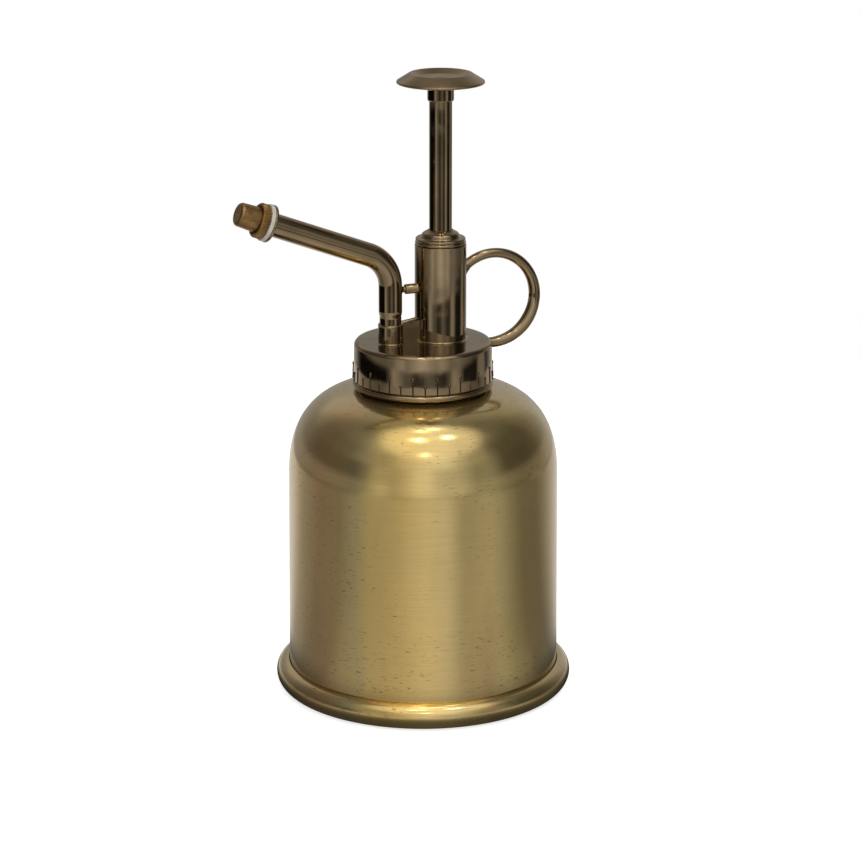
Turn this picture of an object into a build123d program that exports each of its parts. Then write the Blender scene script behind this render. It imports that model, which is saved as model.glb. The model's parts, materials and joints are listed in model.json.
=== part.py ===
"""A hand plant mister: a brass tank with a screw-on pump head, spout, finger ring and thumb plunger.

Millimetres, +Z up. The origin is the centre of the flat underside of the tank, on the tank's axis.
The spout points to -X and the finger ring to +X. The pump stands beside the tank's axis, at pump_x.
"""

from build123d import *
from math import acos, cos, pi, radians, sin, sqrt
import os

# ---- driving dimensions ----------------------------------------------------------------------

overall_height = 210.0
sheet = 0.8                     # thickness of the spun brass sheet
running = 0.05                  # radial clearance of a moving fit

# Tank
base_r = 50.3
bead_r = 4.4                    # half-round bead round the base
wall_low_r = 45.9
wall_high_r = 45.32
wall_top = 73.87
shoulder_run = 27.42            # half-axes and exponent of the superelliptic shoulder
shoulder_rise = 30.34
shoulder_power = 2.48
shoulder_steps = 12

# Neck and cap
neck_bore_r = 17.8
neck_r = 20.3
neck_top = 117.6
neck_flange_r = 22.5
neck_flange_top = 103.1
thread_pitch = 3.0
thread_depth = 0.8
thread_turns = 2.0
thread_low = 107.6
thread_foot = 1.5               # width of the ridge at its foot and at its crest
thread_crest = 0.7
cap_top = 120.6
cap_sheet = 1.0
cap_edge_r = 1.5
cap_top_r = 23.0
cap_low_r = 23.4
cap_bead_r = 23.75
cap_low = 105.8
cap_bead_top = 108.0
cap_bore_r = 21.4
rib_count = 36
rib_width = 0.7
rib_proud = 0.4
rib_low = 108.4
long_rib_top = 113.5
short_rib_top = 110.9

# Pump, on its own axis
pump_x = 6.3
cylinder_r = 8.6
cylinder_bore_r = 7.8
cylinder_low = 74.0
cylinder_top = 152.9
liner_r = 6.8
liner_bore_r = 6.1
liner_low = 77.0
port_r = 0.8
port_rise = 1.2                 # of the ports above the foot of the liner
gland_low = 145.5
gland_ring_r = 8.5              # two beads with a fine groove between them
gland_groove_r = 8.2
gland_groove_z = 154.2
gland_ring_top = 155.1
gland_dome_r = 6.3
gland_top = 157.7
bush_height = 3.0
packing_height = 2.5
rod_r = 3.78
rod_bore_r = 2.8
ferrule_r = 4.4
ferrule_low = 200.75
button_low = 206.0
button_pin_r = 2.2
button_pin = 1.0                # length of the pin that holds the button
brim_low = 206.5
brim_top = 207.3
brim_r = 14.54
dish_rim_r = 10.6
dish_depth = 2.2

piston_height = 4.2
piston_r = 5.9
piston_spigot = 7.0             # length of the spigot in the rod
piston_stub_r = 2.5
cup_height = 4.5
cup_lip = 0.8
nut_size = 4.9                  # centre to corner
nut_height = 2.5

# Foot valve, dip tube and return spring
foot_low = 62.0
foot_flange = 3.0
spigot_r = 2.6
inlet_bore_r = 1.7
dip_tube_r = 3.4
dip_tube_low = 9.0
suction_ball_r = 2.2
suction_seat = 74.2
ball_lift = 1.2
ball_clearance = 0.02           # the ball sits this far off the edge of its seat
ball_stop_gap = 0.1
retainer_top = 1.5
retainer_wall = 0.8
retainer_hole_r = 1.2
strainer_r = 4.2
strainer_low = 5.0
strainer_top = 12.0
strainer_wall = 0.8
slot_z = 7.4
slot_height = 2.0
spring_r = 4.2
spring_wire_r = 0.6
spring_turns = 10

# Spout, outlet valve and nozzle
spout_x = -11.6
spout_r = 3.9
spout_bore_r = 3.1
spout_foot_r = 3.63             # the tube is turned down at its foot
spout_foot_top = 130.5
socket_r = 4.15
socket_top = 127.3
socket_edge_r = 0.4
tube_low = 124.6
bend_r = 12.0
bend_z = 148.4                  # where the two straight runs would meet
arm_rise = 21.1                 # degrees above the horizontal
outlet_ball_r = 1.5
outlet_seat = 122.9
outlet_seat_r = 1.0
outlet_room_r = 2.1
outlet_stop_height = 0.8
passage_r = 0.8
passage_z = 121.9
duct_width = 4.2
duct_top_at_socket = 126.5
duct_top_at_cylinder = 127.7
flange_at = 44.4                # along the arm, from where the runs would meet
flange_thick = 1.0
flange_r = 6.3
washer_thick = 1.3
washer_r = 6.2
collar_thick = 2.9
collar_r = 5.8
collar_teeth = 56
tooth_depth = 0.25
tip_end = 56.5
tip_r = 4.25
tip_front_r = 3.95
tip_edge_r = 1.1
nozzle_bore_end = 54.8
nipple_r = 3.05
nipple_bore_r = 1.5
nipple_spigot = 4.0             # length of the nipple inside the arm
nipple_end = 54.2
swirl_length = 4.0
orifice_r = 0.4
dimple_r = 1.2
dimple_depth = 0.6

# Finger ring and brace
ring_x = 25.1
ring_z = 132.7
ring_r = 15.4
ring_wire_r = 1.7
ring_start = -106               # degrees, where the wire enters the cap
ring_sweep = 246
brace_z = 138.5
brace_r = 1.68
brace_pin_r = 0.95
brace_step_x = -6.6             # left end of the brace's sleeve

# ---- derived places --------------------------------------------------------------------------

os.makedirs("parts", exist_ok=True)

pump_axis = Axis((pump_x, 0, 0), (0, 0, 1))
pump_section = Plane(origin=(pump_x, 0, 0), x_dir=(1, 0, 0), z_dir=(0, -1, 0))
spout_axis = Axis((spout_x, 0, 0), (0, 0, 1))
spout_section = Plane(origin=(spout_x, 0, 0), x_dir=(1, 0, 0), z_dir=(0, -1, 0))

bend = Vector(spout_x, 0, bend_z)
arm_way = Vector(-cos(radians(arm_rise)), 0, sin(radians(arm_rise)))
arm_axis = Axis(bend, arm_way)
arm_section = Plane(origin=bend, x_dir=arm_way, z_dir=(0, 1, 0))

washer_at = flange_at + flange_thick
collar_at = washer_at + washer_thick

bead_centre = base_r - bead_r

suction_ball_z = suction_seat + sqrt(suction_ball_r**2 - inlet_bore_r**2) + ball_clearance
retainer_low = suction_ball_z + suction_ball_r + ball_lift + ball_stop_gap
spring_low = retainer_low + retainer_top
outlet_ball_z = outlet_seat + sqrt(outlet_ball_r**2 - outlet_seat_r**2) + ball_clearance
outlet_stop_low = outlet_ball_z + outlet_ball_r + ball_lift + ball_stop_gap

bush_top = gland_low + bush_height
packing_top = bush_top + packing_height
gland_bore_r = rod_r + running

piston_top = gland_low - 0.3
piston_low = piston_top - piston_height
cup_low = piston_low - cup_height
cup_skirt_top = piston_low - 1.5
nut_low = cup_skirt_top - nut_height
stub_low = nut_low - 2.0


def patch(x_low, x_high, y_low, y_high, mode=Mode.ADD):
    """Draws a rectangle by its edges: radius and height, or distance along the arm and radius."""
    with Locations(((x_low + x_high) / 2, (y_low + y_high) / 2)):
        Rectangle(x_high - x_low, y_high - y_low, mode=mode)


def shoulder(radius, rise):
    """Points up the shoulder, from the top of the wall to the edge of the neck hole."""
    hole = (neck_r - radius + shoulder_run) / shoulder_run
    last_angle = acos(hole ** (shoulder_power / 2))
    points = []
    for step in range(shoulder_steps + 1):
        angle = last_angle * (step / shoulder_steps) ** (shoulder_power / 2)
        out = shoulder_run * cos(angle) ** (2 / shoulder_power)
        up = rise * sin(angle) ** (2 / shoulder_power)
        points.append((radius - shoulder_run + out, wall_top + up))
    return points


# ---- tank ------------------------------------------------------------------------------------

# The wall stands on the base plate and tapers a little, and the shoulder curves in to the neck hole.
with BuildPart() as tank_shell:
    outside = shoulder(wall_high_r, shoulder_rise)
    inside = shoulder(wall_high_r - sheet, shoulder_rise - sheet)
    with BuildSketch(Plane.XZ):
        with BuildLine():
            Line((wall_low_r, sheet), outside[0])
            Spline(*outside, tangents=((0, 1), (-1, 0)))
            Line(outside[-1], inside[-1])
            Spline(*inside, tangents=((0, 1), (-1, 0)))
            Line(inside[0], (wall_low_r - sheet, sheet))
            Line((wall_low_r - sheet, sheet), (wall_low_r, sheet))
        make_face()
    revolve(axis=Axis.Z)
tank_shell.part.label = "tank_shell"
export_step(tank_shell.part, "parts/tank_shell.step")

# The flat bottom, and a hollow half-round bead round it.
with BuildPart() as base_plate:
    with BuildSketch():
        Circle(bead_centre)
    extrude(amount=sheet)
base_plate.part.label = "base_plate"
export_step(base_plate.part, "parts/base_plate.step")

with BuildPart() as base_bead:
    with BuildSketch(Plane.XZ):
        with BuildLine():
            ThreePointArc((bead_centre, 0), (base_r, bead_r), (bead_centre, 2 * bead_r))
            Line((bead_centre, 2 * bead_r), (bead_centre, 2 * bead_r - sheet))
            ThreePointArc((bead_centre, 2 * bead_r - sheet), (base_r - sheet, bead_r), (bead_centre, sheet))
            Line((bead_centre, sheet), (bead_centre, 0))
        make_face()
    revolve(axis=Axis.Z)
base_bead.part.label = "base_bead"
export_step(base_bead.part, "parts/base_bead.step")


def thread(root_r, crest_r, low):
    """A helical ridge that is narrower at its crest, sunk a little into the wall it stands on."""
    sink = 0.2 if crest_r > root_r else -0.2
    with BuildPart() as ridge:
        with BuildLine() as path:
            Helix(thread_pitch, thread_pitch * thread_turns, root_r, center=(0, 0, low))
        with BuildSketch(Plane(origin=path.line @ 0, x_dir=(1, 0, 0), z_dir=path.line % 0)):
            Polygon(
                (-sink, -thread_foot / 2),
                (crest_r - root_r, -thread_crest / 2),
                (crest_r - root_r, thread_crest / 2),
                (-sink, thread_foot / 2),
                align=None,
            )
        sweep(is_frenet=True)
    return ridge.part


neck_thread = thread(neck_r, neck_r + thread_depth, thread_low)
cap_thread = thread(cap_bore_r, cap_bore_r - thread_depth, thread_low + thread_pitch / 2)

# Screw neck, soldered into the neck hole from inside, with a flange under the shoulder.
with BuildPart() as neck_ring:
    with BuildSketch(Plane.XZ):
        patch(neck_bore_r, neck_r, neck_flange_top - sheet, neck_top)
        patch(neck_bore_r, neck_flange_r, neck_flange_top - sheet, neck_flange_top)
    revolve(axis=Axis.Z)
    add(neck_thread)
neck_ring.part.label = "neck_ring"
export_step(neck_ring.part, "parts/neck_ring.step")

# ---- cap -------------------------------------------------------------------------------------

with BuildPart() as cap_gasket:
    with BuildSketch(Plane.XZ):
        patch(neck_bore_r, cap_bore_r - 0.3, neck_top, cap_top - cap_sheet)
    revolve(axis=Axis.Z)
cap_gasket.part.label = "cap_gasket"
export_step(cap_gasket.part, "parts/cap_gasket.step")

# The outer form of the cap: a rounded top edge, a flared skirt, a groove and a rolled bead.
with BuildPart() as cap_form:
    bead_mid = (cap_low + cap_bead_top) / 2
    with BuildSketch(Plane.XZ):
        with BuildLine():
            Line((0, cap_low), (cap_low_r - 0.3, cap_low))
            ThreePointArc((cap_low_r - 0.3, cap_low), (cap_bead_r, bead_mid), (cap_low_r - 0.3, cap_bead_top))
            Line((cap_low_r - 0.3, cap_bead_top), (cap_low_r, cap_bead_top + 0.3))
            Line((cap_low_r, cap_bead_top + 0.3), (cap_top_r, cap_top - cap_edge_r))
            ThreePointArc(
                (cap_top_r, cap_top - cap_edge_r),
                (cap_top_r - cap_edge_r * (1 - cos(pi / 4)), cap_top - cap_edge_r * (1 - sin(pi / 4))),
                (cap_top_r - cap_edge_r, cap_top),
            )
            Line((cap_top_r - cap_edge_r, cap_top), (0, cap_top))
            Line((0, cap_top), (0, cap_low))
        make_face()
    revolve(axis=Axis.Z)


def skirt_r(height):
    """Radius of the cap's flared skirt at a height."""
    share = (height - cap_bead_top) / (cap_top - cap_edge_r - cap_bead_top)
    return cap_low_r + (cap_top_r - cap_low_r) * share


# Screw cap: grip ribs, long and short by turns, stand above the bead.
with BuildPart() as cap:
    add(cap_form.part)
    for rib_top, first in ((long_rib_top, 0), (short_rib_top, 1)):
        rib_start = first * 360 / rib_count
        rib_r = skirt_r(rib_top) + rib_proud
        with BuildSketch(Plane.XY.offset(rib_low)):
            with PolarLocations(rib_r - 1.0, rib_count // 2, start_angle=rib_start):
                Rectangle(2.0, rib_width)
        extrude(amount=rib_top - rib_low)
    with BuildSketch(Plane.XZ):
        patch(0, cap_bore_r, cap_low, cap_top - cap_sheet)
    revolve(axis=Axis.Z, mode=Mode.SUBTRACT)
    with BuildSketch(Plane.XY.offset(cap_top)):
        with Locations((pump_x, 0)):
            Circle(cylinder_r)
    extrude(amount=-2 * cap_sheet, mode=Mode.SUBTRACT)
    add(cap_thread)
cap.part.label = "cap"
export_step(cap.part, "parts/cap.step")

# ---- pump ------------------------------------------------------------------------------------

# The water's way from the pump to the spout, cut through three pieces.
with BuildPart() as passage:
    with BuildSketch(Plane(origin=(spout_x, 0, passage_z), x_dir=(0, 1, 0), z_dir=(1, 0, 0))):
        Circle(passage_r)
    extrude(amount=pump_x - cylinder_bore_r + 0.6 - spout_x)

with BuildPart() as pump_cylinder:
    with BuildSketch(pump_section):
        patch(cylinder_bore_r, cylinder_r, cylinder_low, cylinder_top)
    revolve(axis=pump_axis)
    add(passage.part, mode=Mode.SUBTRACT)
pump_cylinder.part.label = "pump_cylinder"
export_step(pump_cylinder.part, "parts/pump_cylinder.step")

# Inner barrel, with four ports at its foot: pressed water rises outside it to the passage.
with BuildPart() as barrel_liner:
    with BuildSketch(pump_section):
        patch(liner_bore_r, liner_r, liner_low, gland_low)
    revolve(axis=pump_axis)
    with Locations((pump_x, 0, liner_low + port_rise)):
        Cylinder(port_r, 4 * liner_r, rotation=(90, 0, 45), mode=Mode.SUBTRACT)
        Cylinder(port_r, 4 * liner_r, rotation=(90, 0, -45), mode=Mode.SUBTRACT)
barrel_liner.part.label = "barrel_liner"
export_step(barrel_liner.part, "parts/barrel_liner.step")

# Foot valve: flange under the cylinder, plug inside it, seat for the ball and spigot for the tube.
with BuildPart() as foot_valve:
    with BuildSketch(pump_section):
        patch(inlet_bore_r, cylinder_r, cylinder_low - foot_flange, cylinder_low)
        patch(inlet_bore_r, cylinder_bore_r, cylinder_low, liner_low)
        patch(inlet_bore_r, spigot_r, foot_low, cylinder_low - foot_flange)
        patch(inlet_bore_r, suction_ball_r + 0.5, suction_seat, liner_low, mode=Mode.SUBTRACT)
    revolve(axis=pump_axis)
foot_valve.part.label = "foot_valve"
export_step(foot_valve.part, "parts/foot_valve.step")

with BuildPart() as suction_ball:
    with Locations((pump_x, 0, suction_ball_z)):
        Sphere(suction_ball_r)
suction_ball.part.label = "suction_ball"
export_step(suction_ball.part, "parts/suction_ball.step")

# A cup, upside down over the foot valve: it stops the ball and carries the return spring.
with BuildPart() as ball_retainer:
    with BuildSketch(pump_section):
        patch(retainer_hole_r, liner_bore_r, retainer_low, spring_low)
        patch(liner_bore_r - retainer_wall, liner_bore_r, liner_low, retainer_low)
    revolve(axis=pump_axis)
    with BuildSketch(Plane.XY.offset(spring_low)):
        with Locations((pump_x, 0)):
            with PolarLocations(2.9, 4):
                Circle(retainer_hole_r / 2)
    extrude(amount=-retainer_top, mode=Mode.SUBTRACT)
    with Locations((pump_x, 0, liner_low + port_rise)):
        Cylinder(port_r, 4 * liner_r, rotation=(90, 0, 45), mode=Mode.SUBTRACT)
        Cylinder(port_r, 4 * liner_r, rotation=(90, 0, -45), mode=Mode.SUBTRACT)
ball_retainer.part.label = "ball_retainer"
export_step(ball_retainer.part, "parts/ball_retainer.step")

with BuildPart() as dip_tube:
    with BuildSketch(pump_section):
        patch(spigot_r, dip_tube_r, dip_tube_low, cylinder_low - foot_flange)
    revolve(axis=pump_axis)
dip_tube.part.label = "dip_tube"
export_step(dip_tube.part, "parts/dip_tube.step")

# Slotted cup that closes the foot of the dip tube.
with BuildPart() as inlet_strainer:
    with BuildSketch(pump_section):
        patch(0, strainer_r, strainer_low, strainer_top)
        patch(0, dip_tube_r, strainer_low + strainer_wall, strainer_top, mode=Mode.SUBTRACT)
    revolve(axis=pump_axis)
    with Locations((pump_x, 0, slot_z)):
        for turn in (0, 60, 120):
            Box(0.8, 3 * strainer_r, slot_height, rotation=(0, 0, turn), mode=Mode.SUBTRACT)
inlet_strainer.part.label = "inlet_strainer"
export_step(inlet_strainer.part, "parts/inlet_strainer.step")

# Gland nut: spigot in the cylinder, two beads on its rim and a dome round the rod.
with BuildPart() as gland_nut:
    low_bead_z = (cylinder_top + gland_groove_z) / 2
    high_bead_z = (gland_groove_z + gland_ring_top) / 2
    dome_edge_r = gland_dome_r + 0.4
    dome_foot_z = gland_ring_top + 0.4
    dome_z = gland_ring_top + 0.9
    with BuildSketch(pump_section):
        with BuildLine():
            Line((gland_bore_r, packing_top), (gland_bore_r, gland_top))
            Line((gland_bore_r, gland_top), (ferrule_r - 0.2, gland_top))
            ThreePointArc(
                (ferrule_r - 0.2, gland_top),
                ((ferrule_r - 0.2 + gland_dome_r) / 2 + 0.3, (gland_top + dome_z) / 2 + 0.15),
                (gland_dome_r, dome_z),
            )
            Line((gland_dome_r, dome_z), (gland_dome_r, dome_foot_z))
            Line((gland_dome_r, dome_foot_z), (dome_edge_r, gland_ring_top))
            Line((dome_edge_r, gland_ring_top), (gland_groove_r - 0.3, gland_ring_top))
            ThreePointArc(
                (gland_groove_r - 0.3, gland_ring_top),
                (gland_ring_r - 0.1, high_bead_z),
                (gland_groove_r, gland_groove_z),
            )
            ThreePointArc(
                (gland_groove_r, gland_groove_z),
                (gland_ring_r, low_bead_z),
                (gland_groove_r, cylinder_top),
            )
            Line((gland_groove_r, cylinder_top), (cylinder_bore_r, cylinder_top))
            Line((cylinder_bore_r, cylinder_top), (cylinder_bore_r, gland_low))
            Line((cylinder_bore_r, gland_low), (liner_bore_r, gland_low))
            Line((liner_bore_r, gland_low), (liner_bore_r, packing_top))
            Line((liner_bore_r, packing_top), (gland_bore_r, packing_top))
        make_face()
    revolve(axis=pump_axis)
gland_nut.part.label = "gland_nut"
export_step(gland_nut.part, "parts/gland_nut.step")

with BuildPart() as rod_bush:
    with BuildSketch(pump_section):
        patch(gland_bore_r, liner_bore_r, gland_low, bush_top)
    revolve(axis=pump_axis)
rod_bush.part.label = "rod_bush"
export_step(rod_bush.part, "parts/rod_bush.step")

with BuildPart() as gland_packing:
    with BuildSketch(pump_section):
        patch(gland_bore_r, liner_bore_r, bush_top, packing_top)
    revolve(axis=pump_axis)
gland_packing.part.label = "gland_packing"
export_step(gland_packing.part, "parts/gland_packing.step")

# ---- plunger ---------------------------------------------------------------------------------

# A tube that is solid inside the ferrule, where a short pin holds the button. It travels 40 mm down.
with BuildPart() as plunger_rod:
    with BuildSketch(pump_section):
        patch(rod_bore_r, rod_r, piston_top, ferrule_low)
        patch(0, rod_r, ferrule_low, button_low)
        patch(0, button_pin_r, button_low, button_low + button_pin)
    revolve(axis=pump_axis)
plunger_rod.part.label = "plunger_rod"
export_step(plunger_rod.part, "parts/plunger_rod.step")

with BuildPart() as button_ferrule:
    with BuildSketch(pump_section):
        patch(rod_r, ferrule_r, ferrule_low, button_low)
    revolve(axis=pump_axis)
    lower_rim = button_ferrule.edges().group_by(Axis.Z)[0].sort_by(SortBy.LENGTH)[-1]
    chamfer(lower_rim, 0.35)
button_ferrule.part.label = "button_ferrule"
export_step(button_ferrule.part, "parts/button_ferrule.step")

# Thumb button: a thin brim, a conical top and a shallow dish.
with BuildPart() as thumb_button:
    brim_mid = (brim_low + brim_top) / 2
    dish_edge_r = dish_rim_r - 0.9
    dish_floor = overall_height - dish_depth
    dish_fall = dish_depth - 0.3
    dish_curve_r = (dish_edge_r**2 + dish_fall**2) / (2 * dish_fall)
    with BuildSketch(pump_section):
        with BuildLine():
            Line((0, button_low), (ferrule_r, button_low))
            Line((ferrule_r, button_low), (brim_r - 0.4, brim_low))
            ThreePointArc((brim_r - 0.4, brim_low), (brim_r, brim_mid), (brim_r - 0.4, brim_top))
            Line((brim_r - 0.4, brim_top), (dish_rim_r, overall_height - 0.25))
            ThreePointArc(
                (dish_rim_r, overall_height - 0.25),
                (dish_rim_r - 0.4, overall_height),
                (dish_edge_r, overall_height - 0.3),
            )
            ThreePointArc(
                (dish_edge_r, overall_height - 0.3),
                (dish_edge_r / 2, dish_floor + dish_curve_r - sqrt(dish_curve_r**2 - dish_edge_r**2 / 4)),
                (0, dish_floor),
            )
            Line((0, dish_floor), (0, button_low))
        make_face()
        patch(0, button_pin_r, button_low, button_low + button_pin, mode=Mode.SUBTRACT)
    revolve(axis=pump_axis)
thumb_button.part.label = "thumb_button"
export_step(thumb_button.part, "parts/thumb_button.step")

with BuildPart() as piston:
    with BuildSketch(pump_section):
        patch(0, piston_r, piston_low, piston_top)
        patch(0, rod_bore_r, piston_top, piston_top + piston_spigot)
        patch(0, piston_stub_r, stub_low, piston_low)
    revolve(axis=pump_axis)
piston.part.label = "piston"
export_step(piston.part, "parts/piston.step")

with BuildPart() as piston_cup:
    with BuildSketch(pump_section):
        patch(piston_stub_r, liner_bore_r - running, cup_skirt_top, piston_low)
        patch(liner_bore_r - running - cup_lip, liner_bore_r - running, cup_low, cup_skirt_top)
    revolve(axis=pump_axis)
piston_cup.part.label = "piston_cup"
export_step(piston_cup.part, "parts/piston_cup.step")

with BuildPart() as piston_nut:
    with BuildSketch(Plane.XY.offset(nut_low)):
        with Locations((pump_x, 0)):
            RegularPolygon(nut_size, 6)
            Circle(piston_stub_r, mode=Mode.SUBTRACT)
    extrude(amount=nut_height)
piston_nut.part.label = "piston_nut"
export_step(piston_nut.part, "parts/piston_nut.step")

with BuildPart() as return_spring:
    helix_low = spring_low + spring_wire_r
    helix_rise = nut_low - spring_low - 2 * spring_wire_r
    with BuildLine() as coil:
        Helix(helix_rise / spring_turns, helix_rise, spring_r, center=(pump_x, 0, helix_low))
    with BuildSketch(Plane(origin=coil.line @ 0, z_dir=coil.line % 0)):
        Circle(spring_wire_r)
    sweep(is_frenet=True)
return_spring.part.label = "return_spring"
export_step(return_spring.part, "parts/return_spring.step")

# ---- spout -----------------------------------------------------------------------------------

# Boss that carries the spout, with the outlet valve's seat inside it.
with BuildPart() as spout_socket:
    with BuildSketch(spout_section):
        patch(0, socket_r, cap_top, socket_top)
        patch(0, spout_foot_r, tube_low, socket_top, mode=Mode.SUBTRACT)
        patch(0, outlet_room_r, outlet_seat, tube_low, mode=Mode.SUBTRACT)
        patch(0, outlet_seat_r, passage_z, outlet_seat, mode=Mode.SUBTRACT)
    revolve(axis=spout_axis)
    fillet(spout_socket.edges().group_by(Axis.Z)[-1].sort_by(SortBy.LENGTH)[-1], socket_edge_r)
    add(passage.part, mode=Mode.SUBTRACT)
spout_socket.part.label = "spout_socket"
export_step(spout_socket.part, "parts/spout_socket.step")

with BuildPart() as outlet_ball:
    with Locations((spout_x, 0, outlet_ball_z)):
        Sphere(outlet_ball_r)
outlet_ball.part.label = "outlet_ball"
export_step(outlet_ball.part, "parts/outlet_ball.step")

with BuildPart() as outlet_ball_stop:
    with BuildSketch(Plane.XY.offset(outlet_stop_low)):
        with Locations((spout_x, 0)):
            Circle(spout_bore_r)
            with PolarLocations(1.7, 3):
                Circle(0.75, mode=Mode.SUBTRACT)
    extrude(amount=outlet_stop_height)
outlet_ball_stop.part.label = "outlet_ball_stop"
export_step(outlet_ball_stop.part, "parts/outlet_ball_stop.step")

# Short duct on top of the cap that joins the pump cylinder to the spout's socket.
with BuildPart() as duct:
    with BuildSketch(Plane.XZ.offset(-duct_width / 2)):
        with BuildLine():
            Polyline(
                (spout_x, cap_top),
                (pump_x, cap_top),
                (pump_x, duct_top_at_cylinder),
                (spout_x, duct_top_at_socket),
                close=True,
            )
        make_face()
    extrude(amount=duct_width)
    with BuildSketch(Plane.XY.offset(cap_top)):
        with Locations((spout_x, 0)):
            Circle(socket_r)
        with Locations((pump_x, 0)):
            Circle(cylinder_r)
    extrude(amount=cylinder_top - cap_top, mode=Mode.SUBTRACT)
    add(passage.part, mode=Mode.SUBTRACT)
duct.part.label = "duct"
export_step(duct.part, "parts/duct.step")

# Upright run with a turned-down foot, one bend and a rising arm.
with BuildPart() as spout_tube:
    with BuildLine():
        FilletPolyline((spout_x, 0, tube_low), bend, bend + arm_way * flange_at, radius=bend_r)
    with BuildSketch(Plane.XY.offset(tube_low)):
        with Locations((spout_x, 0)):
            Circle(spout_r)
            Circle(spout_bore_r, mode=Mode.SUBTRACT)
    sweep()
    with BuildSketch(spout_section):
        patch(spout_foot_r, 2 * spout_r, tube_low, spout_foot_top)
    revolve(axis=spout_axis, mode=Mode.SUBTRACT)
spout_tube.part.label = "spout_tube"
export_step(spout_tube.part, "parts/spout_tube.step")

# Flanged nipple in the end of the arm: its outer half carries the nozzle's thread.
with BuildPart() as spout_nipple:
    with BuildSketch(arm_section):
        patch(flange_at - nipple_spigot, flange_at, nipple_bore_r, spout_bore_r)
        patch(flange_at, washer_at, nipple_bore_r, flange_r)
        patch(washer_at, nipple_end, nipple_bore_r, nipple_r)
    revolve(axis=arm_axis)
spout_nipple.part.label = "spout_nipple"
export_step(spout_nipple.part, "parts/spout_nipple.step")

# Swirl core: two slanted grooves spin the water before the orifice.
with BuildPart() as swirl_core:
    with BuildSketch(arm_section):
        patch(nipple_end - swirl_length, nipple_end, 0, nipple_bore_r)
    revolve(axis=arm_axis)
    swirl_low = bend + arm_way * (nipple_end - swirl_length)
    with BuildSketch(Plane(origin=swirl_low, x_dir=(0, 1, 0), z_dir=arm_way)):
        with PolarLocations(nipple_bore_r, 2):
            Rectangle(0.9, 0.5)
    extrude(amount=swirl_length, mode=Mode.SUBTRACT)
swirl_core.part.label = "swirl_core"
export_step(swirl_core.part, "parts/swirl_core.step")

with BuildPart() as nozzle_washer:
    with BuildSketch(arm_section):
        patch(washer_at, collar_at, nipple_r + running, washer_r)
    revolve(axis=arm_axis)
nozzle_washer.part.label = "nozzle_washer"
export_step(nozzle_washer.part, "parts/nozzle_washer.step")

# Nozzle: a knurled collar and a plain tip in one turned piece, bored from behind.
with BuildPart() as nozzle:
    collar_plane = Plane(origin=bend + arm_way * collar_at, x_dir=(0, 1, 0), z_dir=arm_way)
    crests = []
    for tooth in range(collar_teeth):
        for part_turn, tooth_r in ((0.0, collar_r), (0.5, collar_r - tooth_depth)):
            turn = 2 * pi * (tooth + part_turn) / collar_teeth
            crests.append((tooth_r * cos(turn), tooth_r * sin(turn)))
    with BuildSketch(collar_plane):
        Polygon(*crests, align=None)
    extrude(amount=collar_thick)
    with BuildSketch(arm_section):
        with BuildLine():
            Line((collar_at, 0), (collar_at, tip_r))
            Line((collar_at, tip_r), (tip_end - tip_edge_r, tip_front_r))
            ThreePointArc(
                (tip_end - tip_edge_r, tip_front_r),
                (tip_end - tip_edge_r * (1 - sin(pi / 4)), tip_front_r - tip_edge_r * (1 - cos(pi / 4))),
                (tip_end, tip_front_r - tip_edge_r),
            )
            Line((tip_end, tip_front_r - tip_edge_r), (tip_end, dimple_r))
            Line((tip_end, dimple_r), (tip_end - dimple_depth, 0))
            Line((tip_end - dimple_depth, 0), (collar_at, 0))
        make_face()
    revolve(axis=arm_axis)
    with BuildSketch(arm_section):
        patch(collar_at, nozzle_bore_end, 0, nipple_r + running)
        patch(nozzle_bore_end, tip_end, 0, orifice_r)
    revolve(axis=arm_axis, mode=Mode.SUBTRACT)
nozzle.part.label = "nozzle"
export_step(nozzle.part, "parts/nozzle.step")

# Strut that steadies the upright run: a pin in a sleeve.
with BuildPart() as brace_strut:
    with BuildSketch(Plane(origin=(spout_x, 0, brace_z), x_dir=(0, 1, 0), z_dir=(1, 0, 0))):
        Circle(brace_pin_r)
    extrude(amount=pump_x - spout_x)
    with BuildSketch(Plane(origin=(brace_step_x, 0, brace_z), x_dir=(0, 1, 0), z_dir=(1, 0, 0))):
        Circle(brace_r)
    extrude(amount=pump_x - brace_step_x)
    with BuildSketch(Plane.XY.offset(brace_z - 5)):
        with Locations((spout_x, 0)):
            Circle(spout_r)
        with Locations((pump_x, 0)):
            Circle(cylinder_r)
    extrude(amount=10, mode=Mode.SUBTRACT)
brace_strut.part.label = "brace_strut"
export_step(brace_strut.part, "parts/brace_strut.step")

# Finger ring: most of a circle of wire, from the cylinder's wall round to the rim of the cap.
with BuildPart() as finger_ring:
    with BuildLine(Plane.XZ) as ring_line:
        CenterArc((ring_x, ring_z), ring_r, ring_start, ring_sweep)
    with BuildSketch(Plane(origin=ring_line.line @ 0, z_dir=ring_line.line % 0)):
        Circle(ring_wire_r)
    sweep()
    with BuildSketch(Plane.XY.offset(cap_top)):
        with Locations((pump_x, 0)):
            Circle(cylinder_r)
    extrude(amount=cylinder_top - cap_top, mode=Mode.SUBTRACT)
    add(cap_form.part, mode=Mode.SUBTRACT)
finger_ring.part.label = "finger_ring"
export_step(finger_ring.part, "parts/finger_ring.step")
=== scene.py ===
"""Looks of a brass plant mister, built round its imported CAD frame. Metres, +Z up, spout to -X."""

import json
import math

import bmesh
import bpy
from mathutils import Matrix, Vector


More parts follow.
